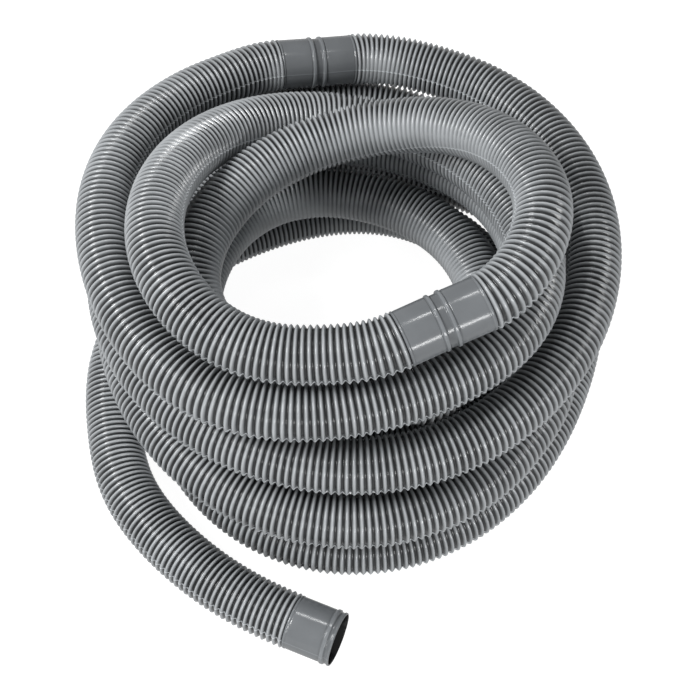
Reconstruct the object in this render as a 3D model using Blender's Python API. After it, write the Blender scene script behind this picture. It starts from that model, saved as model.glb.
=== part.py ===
"""A corrugated pool vacuum hose in a loose coil: five hose lengths, four double cuffs and two end cuffs.

Metres, +Z up. The hose lies on z = 0, the coil's box is centred on the origin, and the free end's mouth faces +X.
The hose's line starts at that mouth, runs back along the floor and joins the coil, which goes round about nine
times and ends at the hidden end cuff.
"""
from math import cos, pi, radians, sin

import bmesh
import bpy
import numpy as np
from mathutils import Matrix

# Driving dimensions
HOSE_D = 0.042          # over the corrugations
BORE_D = 0.038          # a cuff fits over a 1 1/2 inch (38 mm) spigot
CUFF_D = 0.0398         # over a cuff's plain part
BEAD_D = 0.0414         # over the beads and the shoulder rings
DOUBLE_CUFF = 0.062     # length of a double cuff
END_CUFF = 0.036        # length of a single cuff, at each end of the hose
GAP = 0.0003            # kept between neighbouring pieces
LENGTHS = (1.636, 1.476, 1.468, 1.496, 1.550)  # along the line, from the mouth to each double cuff's middle and on

# Where the free end flexes, as distances along the line from the mouth
TIP_FLEX = (0.120, 0.200)
TAIL_FLEX = (0.300, 0.380)

# How the hose is drawn
HOSE_SIDES = 8
CUFF_SIDES = 16
RING_STEP = 0.031
FLOOR_Z = HOSE_D / 2
LAY_TURN = radians(22.5)
LAY_SHIFT = (-0.001827, -0.000110, 0.0)
STEP = 0.002            # between the line's points

# Where the free end lies, from its mouth to where it meets the coil
TAIL = (
    (0.006, -0.249), (-0.024, -0.2365), (-0.055, -0.222), (-0.084, -0.204), (-0.112, -0.181), (-0.138, -0.153),
    (-0.159, -0.117), (-0.168, -0.078), (-0.173, -0.040), (-0.169, 0.000), (-0.152, 0.042), (-0.117, 0.082),
    (-0.066, 0.114),
)
# How far each turn of the coil reaches at the back, right, front and left
QUARTERS = (
    (0.028, 0.136, 0.021), (0.148, 0.000, 0.021), (0.012, -0.094, 0.0275), (-0.108, 0.008, 0.061),
    (-0.013, 0.118, 0.069), (0.120, 0.004, 0.072), (0.024, -0.085, 0.076), (-0.117, 0.022, 0.109),
    (-0.007, 0.152, 0.0935), (0.151, 0.017, 0.108), (0.008, -0.097, 0.119), (-0.101, -0.030, 0.153),
    (0.040, 0.097, 0.176), (0.149, -0.016, 0.222), (-0.024, -0.118, 0.197), (-0.1235, -0.010, 0.2035),
    (0.008, 0.135, 0.139), (0.150, -0.022, 0.158), (-0.029, -0.141, 0.161), (-0.1675, 0.040, 0.158),
    (0.036, 0.2205, 0.1115), (0.200, 0.039, 0.117), (0.018, -0.157, 0.1125), (-0.164, 0.014, 0.111),
    (0.031, 0.207, 0.0715), (0.170, -0.014, 0.064), (0.014, -0.177, 0.067), (-0.163, 0.020, 0.067),
    (0.003, 0.1805, 0.0265), (0.198, 0.060, 0.021), (0.017, -0.177, 0.021), (-0.125, -0.026, 0.021),
)
SMOOTH_REACH = 0.015
CUFF_KNOTS = (-0.036, -0.018, 0.0, 0.018, 0.036)
CUFF_CLEAR = 0.075
KNOT_STRIDE = 13


def spline(knots, values, at):
    """A natural cubic spline through values at knots."""
    knots, values, at = (np.asarray(item, float) for item in (knots, values, at))
    step = np.diff(knots)
    count = len(knots)
    matrix = np.eye(count)
    right = np.zeros((count, values.shape[1]))
    for i in range(1, count - 1):
        matrix[i, i - 1:i + 2] = step[i - 1], 2 * (step[i - 1] + step[i]), step[i]
        right[i] = 6 * ((values[i + 1] - values[i]) / step[i] - (values[i] - values[i - 1]) / step[i - 1])
    bend = np.linalg.solve(matrix, right)
    i = np.clip(np.searchsorted(knots, at) - 1, 0, count - 2)
    b = ((at - knots[i]) / step[i])[:, None]
    a = 1 - b
    width = step[i][:, None]
    curve = (a**3 - a) * bend[i] + (b**3 - b) * bend[i + 1]
    return a * values[i] + b * values[i + 1] + curve * width**2 / 6


def evenly(points, step):
    """The smooth curve through points, at even steps of its length."""
    points = np.array(points)
    chord = np.concatenate([[0], np.cumsum(np.linalg.norm(np.diff(points, axis=0), axis=1))])
    fine = spline(chord, points, np.linspace(0, chord[-1], 20 * len(points)))
    length = np.concatenate([[0], np.cumsum(np.linalg.norm(np.diff(fine, axis=0), axis=1))])
    at = np.arange(0, length[-1], step)
    return np.stack([np.interp(at, length, fine[:, k]) for k in range(3)], 1)


def coil_points(per_quarter=4):
    """The coil's line, a quarter of an ellipse at a time, with a height that changes smoothly."""
    corner = np.array(QUARTERS)
    count = len(corner)
    turns = np.arange(0, count - 1 + 1e-9, 1 / per_quarter)
    height = spline(np.arange(count), corner[:, 2:], turns)[:, 0]
    points = []
    for turn, z in zip(turns, height):
        i = min(int(turn), count - 2)
        angle = (turn - i) * pi / 2
        rise, run = sin(angle), 1 - cos(angle)
        out, back = (rise, run) if i % 2 == 0 else (run, rise)
        (xa, ya, _), (xb, yb, _) = corner[i], corner[i + 1]
        points.append((xa + (xb - xa) * out, ya + (yb - ya) * back, max(z, FLOOR_Z)))
    return points


def smoothed(line, reach):
    """The line with its bends evened out over a short reach."""
    half = int(3 * reach / STEP)
    weight = np.exp(-0.5 * (np.arange(-half, half + 1) * STEP / reach) ** 2)
    weight = weight / weight.sum()
    ahead = line[-1] + (line[-1] - line[-2]) * np.arange(1, half + 1)[:, None]
    behind = line[0] - (line[1] - line[0]) * np.arange(half, 0, -1)[:, None]
    padded = np.concatenate([behind, line, ahead])
    return np.stack([np.convolve(padded[:, k], weight, "valid") for k in range(3)], 1)


def with_cuffs(line, middles):
    """The line with a short straight stretch for each stiff cuff, as one smooth curve."""
    s = np.arange(len(line)) * STEP
    stretches = []
    for middle in middles:
        near = np.abs(s - middle) < (DOUBLE_CUFF + 0.003) / 2
        first, last = line[near][0], line[near][-1]
        along = (last - first) / np.linalg.norm(last - first)
        centre = (line[near].mean(axis=0) + first / 2 + last / 2) / 2
        stretches.append((middle, [centre + at * along for at in CUFF_KNOTS]))
    points = []
    for at, point in zip(s[::KNOT_STRIDE], line[::KNOT_STRIDE]):
        while stretches and at > stretches[0][0]:
            points.extend(stretches.pop(0)[1])
        if all(abs(at - middle) > CUFF_CLEAR for middle in middles):
            points.append(point)
    return evenly(points, STEP)


def hose_line():
    """The whole hose's centreline, in the part's frame."""
    line = evenly([(x, y, FLOOR_Z) for x, y in TAIL] + coil_points(), STEP)
    line = evenly(smoothed(line, SMOOTH_REACH)[::5], STEP)
    line = with_cuffs(line, np.cumsum(LENGTHS)[:-1])
    x = line[:, 0] * cos(LAY_TURN) - line[:, 1] * sin(LAY_TURN)
    y = line[:, 0] * sin(LAY_TURN) + line[:, 1] * cos(LAY_TURN)
    z = np.maximum(line[:, 2], FLOOR_Z)
    return np.stack([x, y, z], 1) + LAY_SHIFT


LINE = hose_line()


def at_length(s):
    """The point on the line at a distance from the mouth, and the line's direction there."""
    along = np.arange(len(LINE)) * STEP
    point, before, after = ([np.interp(t, along, LINE[:, k]) for k in range(3)] for t in (s, s - STEP, s + STEP))
    if s < STEP:
        before = point
    direction = np.array(after) - before
    return np.array(point), direction / np.linalg.norm(direction)


def ring(s, radius, sides):
    """A ring of points around the line, square to it, with one point straight below its middle."""
    middle, along = at_length(s)
    side = np.cross(along, (0, 0, 1))
    side = side / np.linalg.norm(side)
    up = np.cross(side, along)
    turns = [2 * pi * k / sides - pi / 2 for k in range(sides)]
    return [middle + radius * (cos(turn) * side + sin(turn) * up) for turn in turns]


def hollow_body(name, outer, inner, sides, material, origin=None):
    """One closed body between an outer and an inner skin, each a list of (distance, radius)."""
    mesh = bpy.data.meshes.new(name)
    shape = bmesh.new()
    skin = outer + inner[::-1]
    rings = [[shape.verts.new(tuple(point)) for point in ring(s, radius, sides)] for s, radius in skin]
    for near, far in zip(rings, rings[1:] + rings[:1]):
        for k in range(sides):
            n = (k + 1) % sides
            shape.faces.new((near[k], near[n], far[n], far[k]))
    bmesh.ops.recalc_face_normals(shape, faces=shape.faces)
    shape.to_mesh(mesh)
    shape.free()
    body = bpy.data.objects.new(name, mesh)
    bpy.context.scene.collection.objects.link(body)
    mesh.materials.append(material)
    mesh.shade_smooth()
    mesh.set_sharp_from_angle(angle=radians(50))
    if origin is not None:
        mesh.transform(Matrix.Translation(-origin))
        body.location = origin
    return body


def plastic(name, shade, roughness):
    """Grey polyethylene."""
    material = bpy.data.materials.new(name)
    material.use_nodes = True
    surface = material.node_tree.nodes["Principled BSDF"]
    surface.inputs["Base Color"].default_value = (shade, shade * 1.04, shade * 1.08, 1)
    surface.inputs["Roughness"].default_value = roughness
    surface.inputs["Metallic"].default_value = 0.0
    return material


def hose(name, start, end, origin=None):
    """A length of corrugated hose, drawn as a plain tube over its crests."""
    count = max(2, round((end - start) / RING_STEP))
    stations = np.linspace(start, end, count + 1)
    outer = [(s, HOSE_D / 2) for s in stations]
    inner = [(s, BORE_D / 2) for s in stations]
    return hollow_body(name, outer, inner, HOSE_SIDES, plastic(name + "_plastic", 0.22, 0.38), origin)


def double_cuff(name, middle):
    """Two cuffs back to back: a shoulder ring at each end and two beads in the middle, where it is cut."""
    plain, bead, half = CUFF_D / 2, BEAD_D / 2, DOUBLE_CUFF / 2
    side = [
        (half, plain - 0.0004), (half - 0.0008, bead), (half - 0.0030, bead), (half - 0.0038, plain),
        (0.0058, plain), (0.0048, bead), (0.0022, bead), (0.0012, plain - 0.0004),
    ]
    outer = [(middle - x, radius) for x, radius in side] + [(middle + x, radius) for x, radius in side[::-1]]
    inner = [(middle - half, BORE_D / 2), (middle + half, BORE_D / 2)]
    return hollow_body(name, outer, inner, CUFF_SIDES, plastic(name + "_plastic", 0.24, 0.34))


def end_cuff(name, mouth, inwards):
    """A single cuff: a thin rim at its mouth, a groove, a bead, and a shoulder ring where the hose begins."""
    plain, bead = CUFF_D / 2, BEAD_D / 2
    side = [
        (0.0, plain + 0.0002), (0.0014, plain + 0.0004), (0.0020, plain - 0.0003), (0.0040, plain - 0.0003),
        (0.0048, bead), (0.0078, bead), (0.0088, plain), (END_CUFF - 0.0040, plain), (END_CUFF - 0.0032, bead),
        (END_CUFF - 0.0008, bead), (END_CUFF, plain - 0.0004),
    ]
    outer = [(mouth + inwards * x, radius) for x, radius in side]
    inner = [(mouth, BORE_D / 2), (mouth + inwards * END_CUFF, BORE_D / 2)]
    return hollow_body(name, outer, inner, CUFF_SIDES, plastic(name + "_plastic", 0.24, 0.34))


def clear_scene():
    """Start from nothing."""
    for item in list(bpy.data.objects):
        bpy.data.objects.remove(item, do_unlink=True)


def build():
    """All of the hose's pieces, in order from the free end's mouth."""
    clear_scene()
    middles = np.cumsum(LENGTHS)
    half = DOUBLE_CUFF / 2 + GAP
    tip_pivot = at_length(sum(TIP_FLEX) / 2)[0]
    tail_pivot = at_length(sum(TAIL_FLEX) / 2)[0]
    end_cuff("tail_end_cuff", 0.0, 1)
    hose("tail_tip", END_CUFF + GAP, TIP_FLEX[0], tip_pivot)
    hose("tip_flex", TIP_FLEX[0] + GAP, TIP_FLEX[1] - GAP, tip_pivot)
    hose("tail_run", TIP_FLEX[1], TAIL_FLEX[0], tail_pivot)
    hose("tail_flex", TAIL_FLEX[0] + GAP, TAIL_FLEX[1] - GAP, tail_pivot)
    starts = [TAIL_FLEX[1]] + [middle + half for middle in middles[:-1]]
    ends = [middle - half for middle in middles[:-1]] + [middles[-1] - END_CUFF - GAP]
    for number, (start, end) in enumerate(zip(starts, ends), start=1):
        hose(f"hose_length_{number}", start, end)
    for number, middle in enumerate(middles[:-1], start=1):
        double_cuff(f"double_cuff_{number}", middle)
    end_cuff("hidden_end_cuff", middles[-1], -1)


build()
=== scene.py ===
"""The looks of a corrugated pool vacuum hose in a loose coil.

Metres, +Z up, in the CAD's frame. The hose's line is worked out as it is in the CAD, from the free end's
mouth to the hidden end cuff. Each length of corrugated hose is a tube with every ring modelled, and the first
length is three tubes. Each cuff is turned, with its beads, grooves, shoulders
and open bore.
"""
from math import cos, pi, radians, sin

import bpy
import numpy as np
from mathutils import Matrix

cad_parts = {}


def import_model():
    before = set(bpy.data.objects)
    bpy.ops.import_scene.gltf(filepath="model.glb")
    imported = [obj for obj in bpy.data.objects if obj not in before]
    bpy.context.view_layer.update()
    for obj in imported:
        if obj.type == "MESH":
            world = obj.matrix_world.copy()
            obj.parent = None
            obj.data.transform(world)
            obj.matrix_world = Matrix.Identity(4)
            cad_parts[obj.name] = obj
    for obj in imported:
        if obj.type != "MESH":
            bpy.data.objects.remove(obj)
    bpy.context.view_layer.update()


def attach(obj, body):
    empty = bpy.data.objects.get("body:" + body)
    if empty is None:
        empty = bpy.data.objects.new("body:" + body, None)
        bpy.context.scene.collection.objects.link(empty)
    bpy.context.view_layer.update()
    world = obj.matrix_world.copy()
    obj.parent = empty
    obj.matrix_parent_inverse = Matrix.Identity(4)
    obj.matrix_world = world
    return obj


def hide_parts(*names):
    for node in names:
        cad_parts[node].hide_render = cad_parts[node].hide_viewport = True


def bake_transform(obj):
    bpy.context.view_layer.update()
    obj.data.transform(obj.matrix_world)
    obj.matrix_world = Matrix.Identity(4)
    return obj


# Sizes, as in the CAD
HOSE_D = 0.042
BORE_D = 0.038
CUFF_D = 0.0398
BEAD_D = 0.0414
DOUBLE_CUFF = 0.062
END_CUFF = 0.036
LENGTHS = (1.636, 1.476, 1.468, 1.496, 1.550)     # from one cuff's middle to the next, and out to each mouth
TAIL_CUT = 0.295                # where the first length is cut into three tubes
ROOT_CUT = 0.600
RIB_OVERLAP = 0.0004            # how far a corrugated tube reaches into a cuff

# The corrugations
PITCHES = (             # how far apart the corrugations lie, at distances along the hose
    (0.00, 0.0046), (0.25, 0.0043), (1.45, 0.0041), (2.60, 0.0042), (2.92, 0.0041), (3.00, 0.0046),
    (3.15, 0.0051), (3.30, 0.0043), (3.75, 0.0044), (4.00, 0.0050), (4.50, 0.0047), (4.65, 0.0042),
    (4.84, 0.0051), (5.30, 0.0048), (5.60, 0.0042), (6.15, 0.0051), (6.50, 0.0047), (8.00, 0.0047),
)
OPEN_PITCH = 0.0048     # where a corrugation's valley is as wide as its crest
SHUT_PITCH = 0.0032     # where it has closed up
RIB_DEPTH = 0.0031
SHUT_OVER = 0.0008      # the change of pitch over which a valley goes from shut to its full depth
RIB_PHASES = (0.0, 0.12, 0.28, 0.5, 0.72, 0.88)     # the rings of points in one corrugation
RIB_SIDES = 20          # points round each half, between the parting lines
CUFF_SIDES = 46
BEND_REACH = 0.008      # how far each way the hose's line is looked at to find its bend
CREST_D = HOSE_D - 0.0002
CORNER_R = 0.0005       # on a cuff's outside
NECK_D = 0.035          # a cuff's bore as drawn where it meets the corrugated tube, just inside the valleys

# The two parting lines, which are opposite each other
SEAM_HALF = 0.0006      # half the width of one
SEAM_HEIGHT = 0.00035
SEAM_TURNS = (radians(-17), radians(17))    # how far they are turned, before and after the roll
SEAM_ROLL = (2.80, 3.00)                    # where they roll over, as distances from the free mouth
SEAM_WAVER = radians(4)

# Shades painted into the colour: 0 and less is darkest, and 1 is palest. The valleys' darkness is painted
# shade, and the cuffs' bores get the darkest painted shade
BORE_SHADE = -1.0
VALLEY_SHADE = 0.0
CREST = 0.65
SEAM = 1.0

# The line the hose lies along: points of the free tail, then one point for each quarter turn of the coil
FLOOR_Z = HOSE_D / 2
LAY_TURN = radians(22.5)
LAY_SHIFT = (-0.001827, -0.000110, 0.0)
STEP = 0.002
TAIL = (
    (0.006, -0.249), (-0.024, -0.2365), (-0.055, -0.222), (-0.084, -0.204), (-0.112, -0.181),
    (-0.138, -0.153), (-0.159, -0.117), (-0.168, -0.078), (-0.173, -0.040), (-0.169, 0.000),
    (-0.152, 0.042), (-0.117, 0.082), (-0.066, 0.114),
)
QUARTERS = (
    (0.028, 0.136, 0.021), (0.148, 0.000, 0.021), (0.012, -0.094, 0.0275), (-0.108, 0.008, 0.061),
    (-0.013, 0.118, 0.069), (0.120, 0.004, 0.072), (0.024, -0.085, 0.076), (-0.117, 0.022, 0.109),
    (-0.007, 0.152, 0.0935), (0.151, 0.017, 0.108), (0.008, -0.097, 0.119), (-0.101, -0.030, 0.153),
    (0.040, 0.097, 0.176), (0.149, -0.016, 0.222), (-0.024, -0.118, 0.197), (-0.1235, -0.010, 0.2035),
    (0.008, 0.135, 0.139), (0.150, -0.022, 0.158), (-0.029, -0.141, 0.161), (-0.1675, 0.040, 0.158),
    (0.036, 0.2205, 0.1115), (0.200, 0.039, 0.117), (0.018, -0.157, 0.1125), (-0.164, 0.014, 0.111),
    (0.031, 0.207, 0.0715), (0.170, -0.014, 0.064), (0.014, -0.177, 0.067), (-0.163, 0.020, 0.067),
    (0.003, 0.1805, 0.0265), (0.198, 0.060, 0.021), (0.017, -0.177, 0.021), (-0.125, -0.026, 0.021),
)
SMOOTH_REACH = 0.015
SMOOTH_STRIDE = 5       # every how many steps the evened line keeps a point
KNOT_STRIDE = 13        # the same, where the cuffs are set in
STRAIGHT = DOUBLE_CUFF + 0.003
CUFF_KNOTS = (-0.036, -0.018, 0.0, 0.018, 0.036)
CUFF_CLEAR = 0.075      # no other point of the line is kept this near a cuff's middle

# The camera, in the frame the hose is laid in before LAY_TURN
CAMERA_AT = (0.0143, -0.6935, 1.1341)
CAMERA_DOWN = radians(58.22)
CAMERA_LENS = 84.4
AIM_Z = 0.08            # the height the lights are aimed at


# ---- the hose's line, as in the CAD ----

def spline(knots, values, at):
    """A natural cubic spline through values at knots."""
    knots, values, at = (np.asarray(item, float) for item in (knots, values, at))
    step = np.diff(knots)
    count = len(knots)
    matrix = np.eye(count)
    right = np.zeros((count, values.shape[1]))
    for i in range(1, count - 1):
        matrix[i, i - 1:i + 2] = step[i - 1], 2 * (step[i - 1] + step[i]), step[i]
        right[i] = 6 * ((values[i + 1] - values[i]) / step[i] - (values[i] - values[i - 1]) / step[i - 1])
    bend = np.linalg.solve(matrix, right)
    i = np.clip(np.searchsorted(knots, at) - 1, 0, count - 2)
    b = ((at - knots[i]) / step[i])[:, None]
    a = 1 - b
    width = step[i][:, None]
    curve = (a**3 - a) * bend[i] + (b**3 - b) * bend[i + 1]
    return a * values[i] + b * values[i + 1] + curve * width**2 / 6


def evenly(points, step):
    """The smooth curve through points, at even steps of its length."""
    points = np.array(points)
    chord = np.concatenate([[0], np.cumsum(np.linalg.norm(np.diff(points, axis=0), axis=1))])
    fine = spline(chord, points, np.linspace(0, chord[-1], 20 * len(points)))
    length = np.concatenate([[0], np.cumsum(np.linalg.norm(np.diff(fine, axis=0), axis=1))])
    at = np.arange(0, length[-1], step)
    return np.stack([np.interp(at, length, fine[:, k]) for k in range(3)], 1)


def coil_points(per_quarter=4):
    """The coil's line, a quarter of an ellipse at a time, with a height that changes smoothly."""
    corner = np.array(QUARTERS)
    count = len(corner)
    turns = np.arange(0, count - 1 + 1e-9, 1 / per_quarter)
    height = spline(np.arange(count), corner[:, 2:], turns)[:, 0]
    points = []
    for turn, z in zip(turns, height):
        i = min(int(turn), count - 2)
        angle = (turn - i) * pi / 2
        rise, run = sin(angle), 1 - cos(angle)
        out, back = (rise, run) if i % 2 == 0 else (run, rise)
        (xa, ya, _), (xb, yb, _) = corner[i], corner[i + 1]
        points.append((xa + (xb - xa) * out, ya + (yb - ya) * back, max(z, FLOOR_Z)))
    return points


def smoothed(line, reach):
    """The line with its bends evened out over a short reach."""
    half = int(3 * reach / STEP)
    weight = np.exp(-0.5 * (np.arange(-half, half + 1) * STEP / reach) ** 2)
    weight = weight / weight.sum()
    ahead = line[-1] + (line[-1] - line[-2]) * np.arange(1, half + 1)[:, None]
    behind = line[0] - (line[1] - line[0]) * np.arange(half, 0, -1)[:, None]
    padded = np.concatenate([behind, line, ahead])
    return np.stack([np.convolve(padded[:, k], weight, "valid") for k in range(3)], 1)


def with_cuffs(line, middles):
    """The line with a short straight stretch for each stiff cuff, as one smooth curve."""
    s = np.arange(len(line)) * STEP
    stretches = []
    for middle in middles:
        near = np.abs(s - middle) < STRAIGHT / 2
        first, last = line[near][0], line[near][-1]
        along = (last - first) / np.linalg.norm(last - first)
        centre = (line[near].mean(axis=0) + first / 2 + last / 2) / 2
        stretches.append((middle, [centre + at * along for at in CUFF_KNOTS]))
    points = []
    for at, point in zip(s[::KNOT_STRIDE], line[::KNOT_STRIDE]):
        while stretches and at > stretches[0][0]:
            points.extend(stretches.pop(0)[1])
        if all(abs(at - middle) > CUFF_CLEAR for middle in middles):
            points.append(point)
    return evenly(points, STEP)


def turned(points):
    """Points from the frame the hose is laid in, in the part's frame."""
    points = np.atleast_2d(points)
    x = points[:, 0] * cos(LAY_TURN) - points[:, 1] * sin(LAY_TURN)
    y = points[:, 0] * sin(LAY_TURN) + points[:, 1] * cos(LAY_TURN)
    return np.stack([x, y, points[:, 2]], 1) + LAY_SHIFT


def hose_line():
    """The whole hose's centreline, in the part's frame."""
    line = evenly([(x, y, FLOOR_Z) for x, y in TAIL] + coil_points(), STEP)
    line = evenly(smoothed(line, SMOOTH_REACH)[::SMOOTH_STRIDE], STEP)
    line = turned(with_cuffs(line, np.cumsum(LENGTHS)[:-1]))
    line[:, 2] = np.maximum(line[:, 2], FLOOR_Z)
    return line


LINE = hose_line()
MIDDLES = np.cumsum(LENGTHS)    # of the double cuffs, as distances from the free mouth, then the hose's end


def at_lengths(s):
    """The line's points at distances from the mouth."""
    along = np.arange(len(LINE)) * STEP
    return np.stack([np.interp(s, along, LINE[:, k]) for k in range(3)], 1)


def frames(s):
    """The line's points at distances from the mouth, and the directions along, beside and above it there."""
    points = at_lengths(s)
    along = at_lengths(s + STEP) - at_lengths(np.maximum(s - STEP, 0))
    along = along / np.linalg.norm(along, axis=1)[:, None]
    side = np.cross(along, (0, 0, 1))
    side = side / np.linalg.norm(side, axis=1)[:, None]
    return points, along, side, np.cross(side, along)


# ---- shapes ----

def outwards(s, angle):
    """The directions out from the line at each distance in s, for a row of angles at each."""
    _, _, side, up = frames(s)
    return np.cos(angle)[:, :, None] * side[:, None, :] + np.sin(angle)[:, :, None] * up[:, None, :]


def skin(s, radius, angle):
    """Rings of points around the line: radius and angle hold a row of values for each distance in s."""
    return at_lengths(s)[:, None, :] + radius[:, :, None] * outwards(s, angle)


def tube_mesh(name, rings, shade, closed=False):
    """A mesh from rings of points, with the shade of each point. closed joins the last ring to the first."""
    count, sides, _ = rings.shape
    mesh = bpy.data.meshes.new(name)
    near = np.arange(count if closed else count - 1)[:, None] * sides
    far = (near + sides) % (count * sides)
    k = np.arange(sides)[None, :]
    n = (k + 1) % sides
    quads = np.stack([near + k, near + n, far + n, far + k], 2).reshape(-1, 4)
    mesh.vertices.add(count * sides)
    mesh.vertices.foreach_set("co", rings.reshape(-1))
    mesh.loops.add(quads.size)
    mesh.loops.foreach_set("vertex_index", quads.reshape(-1))
    mesh.polygons.add(len(quads))
    mesh.polygons.foreach_set("loop_start", np.arange(len(quads)) * 4)
    mesh.update(calc_edges=True)
    values = mesh.attributes.new("shade", "FLOAT", "POINT")
    values.data.foreach_set("value", shade.reshape(-1).astype(np.float32))
    mesh.shade_smooth()
    return mesh


def new_piece(name, mesh, material):
    """An object in the scene with its material."""
    piece = bpy.data.objects.new(name, mesh)
    bpy.context.scene.collection.objects.link(piece)
    mesh.materials.append(material)
    return piece


def seam_turn(s):
    """How far the parting lines have rolled about the hose's own line, at a distance from the mouth."""
    return np.interp(s, SEAM_ROLL, SEAM_TURNS) + SEAM_WAVER * np.sin(s * 3.1)


def round_angles(per_half):
    """The angles of a ring's points, closer at the two parting lines, and how near each is to one."""
    half = SEAM_HALF / (HOSE_D / 2)
    plain = np.linspace(2 * half, pi - 2 * half, per_half)
    one = np.concatenate([[-half, 0, half], plain])
    near = np.concatenate([[0.0, 1.0, 0.0], np.zeros(per_half)])
    return np.concatenate([one, one + pi]), np.concatenate([near, near])


def rings_along(start, end):
    """Where a length's rings of points lie, and how many corrugations have passed by each one."""
    fine = np.linspace(start, end, 4000)
    where, pitch = np.array(PITCHES).T
    passed = np.concatenate([[0], np.cumsum(np.diff(fine) / np.interp(fine[1:], where, pitch))])
    count = round(passed[-1])
    phase = np.append((np.arange(count)[:, None] + RIB_PHASES).ravel(), count)
    return np.interp(phase * passed[-1] / count, passed, fine), phase


def local_pitch(s, angle):
    """The pitch at each point of each ring: tighter on the inside of a bend, wider on the outside."""
    _, before, _, _ = frames(np.maximum(s - BEND_REACH, 0))
    _, after, _, _ = frames(s + BEND_REACH)
    bend = (after - before) / (2 * BEND_REACH)
    inwards = (outwards(s, angle) * bend[:, None, :]).sum(axis=2)
    where, pitch = np.array(PITCHES).T
    return np.interp(s, where, pitch)[:, None] * (1 - inwards * HOSE_D / 2)


def corrugated(name, start, end, material):
    """A length of corrugated hose as one tube, with a valley at each of its ends.

    Where the corrugations are close together their valleys are narrower and shallower. At a parting line the
    skin stands a little proud and the valleys are partly filled.
    """
    s, phase = rings_along(start, end)
    base, near = round_angles(RIB_SIDES)
    angle = base[None, :] + seam_turn(s)[:, None]
    pitch = local_pitch(s, angle)
    tightness = np.clip((OPEN_PITCH - pitch) * 1000, 0, 1.6)
    deep = np.clip((pitch - SHUT_PITCH) / SHUT_OVER, 0.15, 1.0) * RIB_DEPTH
    wave = (0.5 + 0.5 * np.cos(2 * pi * phase))[:, None]
    valley = wave ** (1 + 0.5 * tightness + 0.5 * tightness**2)
    radius = CREST_D / 2 - deep * valley + near[None, :] * (SEAM_HEIGHT * 0.4 + 0.3 * deep * valley)
    # Painted shade: each valley is painted darker the deeper it is, and the parting lines are painted palest
    shade = VALLEY_SHADE + (CREST - VALLEY_SHADE) * (1 - valley * deep / RIB_DEPTH)
    shade = shade + near[None, :] * (SEAM - shade)
    mesh = tube_mesh(name, skin(s, radius, angle), shade)
    return new_piece(name, mesh, material)


def turned_cuff(name, outer, inner, material):
    """A cuff turned about the line from its outer and inner profiles, each a list of (distance, radius)."""
    s, radius = np.array(outer + inner[::-1]).T
    base, near = round_angles(CUFF_SIDES)
    angle = np.repeat((base + seam_turn(s.mean()))[None, :], len(s), axis=0)
    outside = (np.arange(len(s)) < len(outer))[:, None]
    rings = skin(s, radius[:, None] + near[None, :] * outside * SEAM_HEIGHT * 0.6, angle)
    # Beads, shoulders and parting lines are a little paler than the rest, the beads' and shoulders' paleness
    # being painted highlight, and grooves are darker with painted shade; the inside gets the darkest painted
    # shade.
    bead_glint_groove_shade = np.clip((radius - CUFF_D / 2) / 0.0008, -1, 1) * 0.12
    shade = np.where(outside, CREST + bead_glint_groove_shade[:, None] + near[None, :] * 0.2, BORE_SHADE)
    mesh = tube_mesh(name, rings, shade, closed=True)
    piece = new_piece(name, mesh, material)
    mesh.set_sharp_from_angle(angle=radians(60))
    return piece


def rounded(profile, radius=CORNER_R, steps=3):
    """A profile with its corners rounded."""
    points = [np.array(p, float) for p in profile]
    out = [points[0]]
    for before, corner, after in zip(points, points[1:], points[2:]):
        back, on = before - corner, after - corner
        reach = min(radius, 0.45 * np.linalg.norm(back), 0.45 * np.linalg.norm(on))
        a = corner + back / np.linalg.norm(back) * reach
        b = corner + on / np.linalg.norm(on) * reach
        for t in np.linspace(0, 1, steps + 1):
            out.append((1 - t) ** 2 * a + 2 * t * (1 - t) * corner + t * t * b)
    return [tuple(p) for p in out + [points[-1]]]


def double_cuff(name, middle, material):
    """Two cuffs back to back, with a slight shoulder at each end and two grooved beads in the middle."""
    plain, bead, half = CUFF_D / 2, BEAD_D / 2, DOUBLE_CUFF / 2
    side = [
        (half, plain - 0.0022), (half, plain - 0.0003), (half - 0.0007, plain + 0.0004),
        (half - 0.0016, plain + 0.0004), (half - 0.0022, plain - 0.0002), (half - 0.0030, plain),
        (0.0066, plain), (0.0060, plain - 0.0005), (0.0052, bead), (0.0032, bead),
        (0.0024, plain - 0.0007), (0.0012, plain - 0.0007),
    ]
    outer = [(middle - x, radius) for x, radius in side] + [(middle + x, radius) for x, radius in side[::-1]]
    inner = [(middle - half, NECK_D / 2), (middle + half, NECK_D / 2)]
    return turned_cuff(name, rounded(outer), inner, material)


def end_cuff(name, mouth, inwards, material):
    """A single cuff with a thin rim at its open mouth, a groove, a bead and a shoulder ring."""
    plain, bead = CUFF_D / 2, BEAD_D / 2
    side = [
        (0.0, BORE_D / 2 + 0.0001), (0.0, plain + 0.0002), (0.0014, plain + 0.0004), (0.0020, plain - 0.0003),
        (0.0040, plain - 0.0005), (0.0048, bead), (0.0070, bead), (0.0078, plain - 0.0003), (0.0090, plain),
        (END_CUFF - 0.0030, plain), (END_CUFF - 0.0022, plain - 0.0002), (END_CUFF - 0.0016, plain + 0.0004),
        (END_CUFF - 0.0007, plain + 0.0004), (END_CUFF, plain - 0.0003), (END_CUFF, NECK_D / 2 + 0.0001),
    ]
    outer = [(mouth + inwards * x, radius) for x, radius in side]
    inner = [(mouth, BORE_D / 2), (mouth + inwards * 0.0006, BORE_D / 2 - 0.0002)]
    inner += [(mouth + inwards * 0.030, BORE_D / 2 - 0.0004), (mouth + inwards * END_CUFF, NECK_D / 2)]
    return turned_cuff(name, rounded(outer, 0.0004), inner, material)


# ---- materials ----

def link(tree, source, output, target, socket):
    """Join one node's output to another's input."""
    tree.links.new(source.outputs[output], target.inputs[socket])


def node(tree, kind, **settings):
    """A shader node with its settings."""
    item = tree.nodes.new(kind)
    for key, value in settings.items():
        setattr(item, key, value)
    return item


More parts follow.
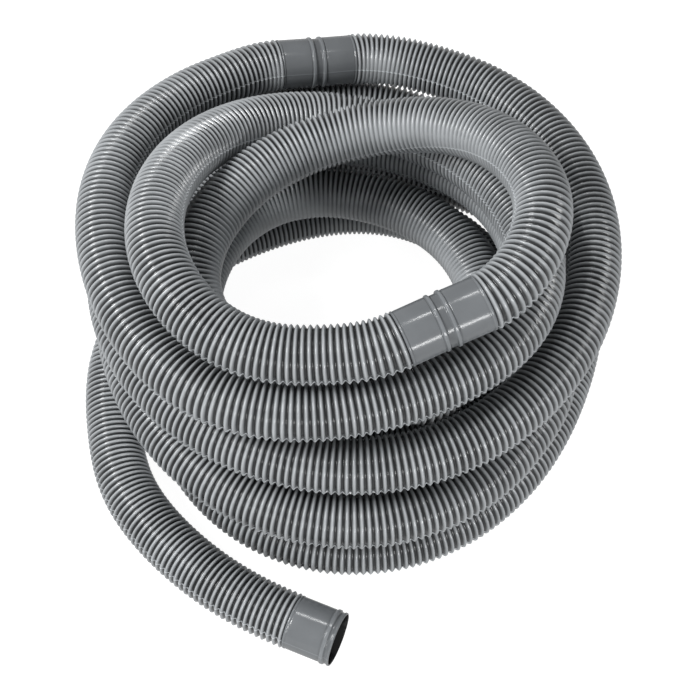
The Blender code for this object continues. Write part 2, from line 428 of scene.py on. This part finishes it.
def polyethylene(name, tone, roughness):
    """Blow-moulded grey polyethylene: a little mottled, with painted shade darkening the valleys, and paler
    on the crests.
    """
    material = bpy.data.materials.new(name)
    material.use_nodes = True
    tree = material.node_tree
    surface = tree.nodes["Principled BSDF"]
    place = node(tree, "ShaderNodeTexCoord")
    mottle = node(tree, "ShaderNodeTexNoise")
    mottle.inputs["Scale"].default_value = 38
    mottle.inputs["Detail"].default_value = 5
    grain = node(tree, "ShaderNodeTexNoise")
    grain.inputs["Scale"].default_value = 1400
    grain.inputs["Detail"].default_value = 3
    shade = node(tree, "ShaderNodeAttribute", attribute_name="shade")
    for texture in (mottle, grain):
        link(tree, place, "Object", texture, "Vector")
    mix = node(tree, "ShaderNodeMath", operation="MULTIPLY_ADD")
    link(tree, mottle, "Fac", mix, 0)
    mix.inputs[1].default_value = 0.25
    link(tree, shade, "Fac", mix, 2)
    # The shade attribute picks the colour: its low end is painted shade in the valleys, grooves and bores,
    # and its high end the paler crests, the beads' painted highlight and the parting lines
    ramp = node(tree, "ShaderNodeValToRGB")
    stops = ramp.color_ramp.elements
    stops[0].color = (*[0.05 * part for part in tone], 1)
    stops[1].color = (*[1.5 * part for part in tone], 1)
    for position, level in ((0.10, 0.06), (0.34, 0.14), (0.62, 0.72), (0.80, 1.0)):
        stops.new(position).color = (*[level * part for part in tone], 1)
    link(tree, mix, 0, ramp, "Fac")
    link(tree, ramp, "Color", surface, "Base Color")
    gloss = node(tree, "ShaderNodeMapRange")
    gloss.inputs["To Min"].default_value = roughness - 0.06
    gloss.inputs["To Max"].default_value = roughness + 0.08
    link(tree, mottle, "Fac", gloss, "Value")
    link(tree, gloss, "Result", surface, "Roughness")
    bump = node(tree, "ShaderNodeBump")
    bump.inputs["Strength"].default_value = 0.12
    bump.inputs["Distance"].default_value = 0.0002
    link(tree, grain, "Fac", bump, "Height")
    link(tree, bump, "Normal", surface, "Normal")
    surface.inputs["Specular IOR Level"].default_value = 0.5
    surface.inputs["IOR"].default_value = 1.5
    return material


def pale_floor():
    """A plain floor that glows white to the camera, but throws only a part of that glow onto the hose."""
    material = bpy.data.materials.new("floor_white")
    material.use_nodes = True
    tree = material.node_tree
    surface = tree.nodes["Principled BSDF"]
    surface.inputs["Base Color"].default_value = (0.30, 0.30, 0.30, 1)
    surface.inputs["Roughness"].default_value = 0.8
    surface.inputs["Specular IOR Level"].default_value = 0.1
    surface.inputs["Emission Color"].default_value = (1, 1, 1, 1)
    ray = node(tree, "ShaderNodeLightPath")
    glow = node(tree, "ShaderNodeMapRange")
    glow.inputs["To Min"].default_value = 0.30
    glow.inputs["To Max"].default_value = 0.95
    link(tree, ray, "Is Camera Ray", glow, "Value")
    link(tree, glow, "Result", surface, "Emission Strength")
    mesh = bpy.data.meshes.new("floor")
    size = 6.0
    corners = [(-size, -size, 0), (size, -size, 0), (size, size, 0), (-size, size, 0)]
    mesh.from_pydata(corners, [], [(0, 1, 2, 3)])
    floor = bpy.data.objects.new("floor", mesh)
    bpy.context.scene.collection.objects.link(floor)
    mesh.materials.append(material)


# ---- light and camera ----

def camera():
    """The camera, looking down at the coil from the front."""
    lens = bpy.data.cameras.new("camera")
    lens.lens = CAMERA_LENS
    lens.sensor_width = 36
    lens.clip_start = 0.05
    eye = bpy.data.objects.new("camera", lens)
    bpy.context.scene.collection.objects.link(eye)
    eye.location = turned(CAMERA_AT)[0]
    eye.rotation_euler = (pi / 2 - CAMERA_DOWN, 0, LAY_TURN)
    bpy.context.scene.camera = eye


def softbox(name, azimuth, height, distance, size, power):
    """An area light aimed at the coil. azimuth is measured from the camera's side, to the right."""
    light = bpy.data.lights.new(name, "AREA")
    light.shape = "RECTANGLE"
    light.size, light.size_y = size
    light.energy = power
    lamp = bpy.data.objects.new(name, light)
    bpy.context.scene.collection.objects.link(lamp)
    turn = LAY_TURN + azimuth - pi / 2
    out = distance * cos(height)
    lamp.location = (out * cos(turn), out * sin(turn), AIM_Z + distance * sin(height))
    lamp.rotation_euler = (pi / 2 - height, 0, turn + pi / 2)


def surroundings(strength):
    """Even white light from all round."""
    world = bpy.data.worlds.new("studio")
    bpy.context.scene.world = world
    world.use_nodes = True
    world.node_tree.nodes["Background"].inputs["Color"].default_value = (1, 1, 1, 1)
    world.node_tree.nodes["Background"].inputs["Strength"].default_value = strength


def lights():
    """A dim strip high behind, a long low one at the front right, and a bright softbox at the left."""
    surroundings(0.30)
    softbox("behind", radians(176), radians(74), 1.6, (0.5, 0.12), 4)
    softbox("front_strip", radians(22), radians(14), 1.8, (1.4, 0.24), 18)
    softbox("left", radians(-78), radians(46), 1.8, (0.8, 0.4), 29)
    bpy.context.scene.view_settings.view_transform = "Standard"


# ---- the hose ----


def hose():
    """Every piece of the hose, riding on its body."""
    rib = polyethylene("hose_grey", (0.42, 0.440, 0.456), 0.22)
    smooth = polyethylene("cuff_grey", (0.158, 0.168, 0.177), 0.17)
    half = DOUBLE_CUFF / 2

    mouth_cuff = end_cuff("tail_cuff", 0.0, 1, smooth)
    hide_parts("tail_end_cuff")
    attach(mouth_cuff, "tip")

    tail = corrugated("hose_tail", END_CUFF - RIB_OVERLAP, TAIL_CUT, rib)
    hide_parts("tail_tip", "tip_flex", "tail_run")
    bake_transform(tail)

    root = corrugated("hose_tail_root", TAIL_CUT, ROOT_CUT, rib)
    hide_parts("tail_flex")
    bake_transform(root)

    starts = [ROOT_CUT] + [middle + half - RIB_OVERLAP for middle in MIDDLES[:-1]]
    ends = [middle - half + RIB_OVERLAP for middle in MIDDLES[:-1]] + [MIDDLES[-1] - END_CUFF + RIB_OVERLAP]
    for number, (start, end) in enumerate(zip(starts, ends), start=1):
        if number < len(starts):
            cuff = double_cuff(f"cuff_{number}", MIDDLES[number - 1], smooth)
            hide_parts(f"double_cuff_{number}")
        else:
            cuff = end_cuff("last_cuff", MIDDLES[-1], -1, smooth)
            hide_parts("hidden_end_cuff")
        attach(cuff, "coil")
        run = corrugated(f"hose_run_{number}", start, end, rib)
        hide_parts(f"hose_length_{number}")
        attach(run, "coil")


def main():
    """Build the scene."""
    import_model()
    camera()
    hose()
    pale_floor()
    lights()


main()
